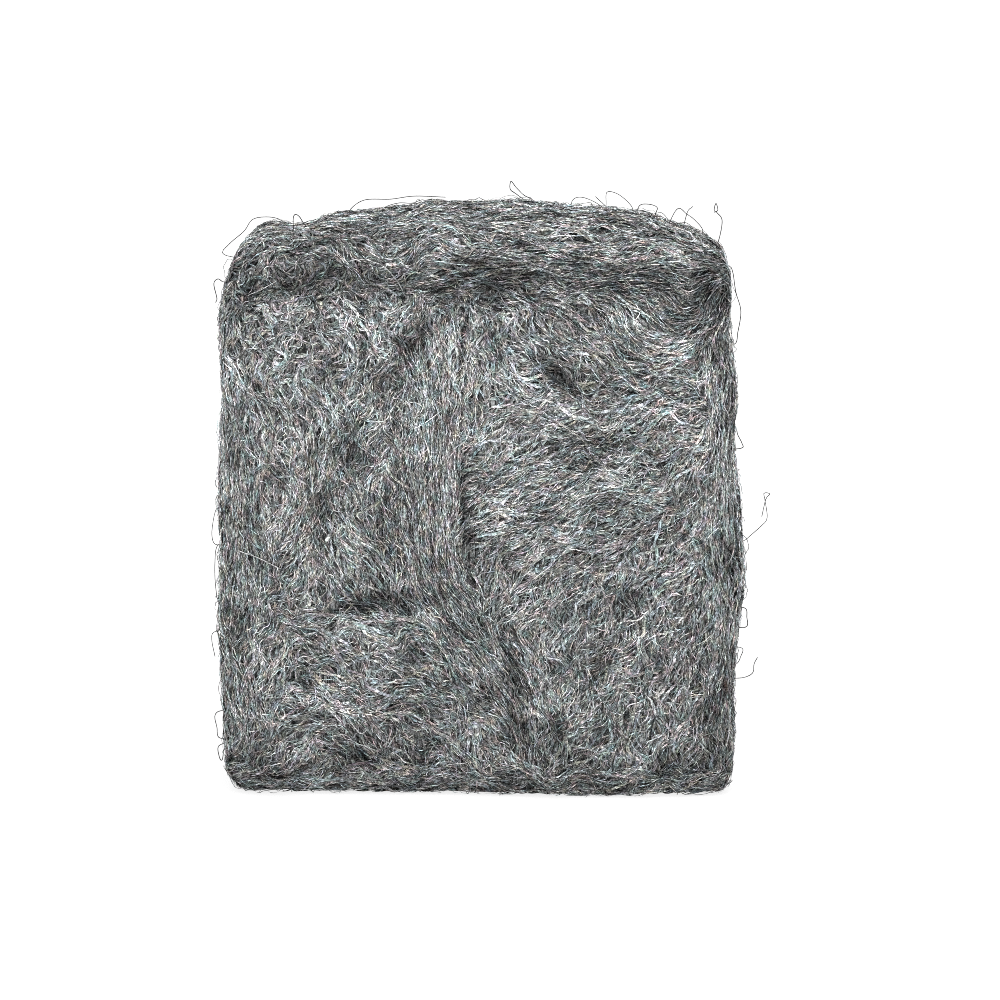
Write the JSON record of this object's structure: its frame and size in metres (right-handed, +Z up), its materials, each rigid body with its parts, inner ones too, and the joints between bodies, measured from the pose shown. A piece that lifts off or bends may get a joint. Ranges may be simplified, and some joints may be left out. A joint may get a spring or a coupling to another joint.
{
  "type": "lead wool bundle",
  "caption": "Upright block of matted metal wool: long thin lead strands pressed by hand into one soft-cornered bundle that stands on its end.",
  "frame": {"origin": "middle of the flat base, under the middle of the block's box", "axes": "+Z up through the block's height, +X across the broad front towards its right, -Y out of the broad front"},
  "size_m": [0.1552, 0.0696, 0.1707],
  "materials": {
    "lead_wool": "soft grey lead strands with a dull metallic glint, slightly uneven from oxide"
  },
  "bodies": {
    "root": {"wool_bundle": "lead_wool"}
  },
  "joints": []
}
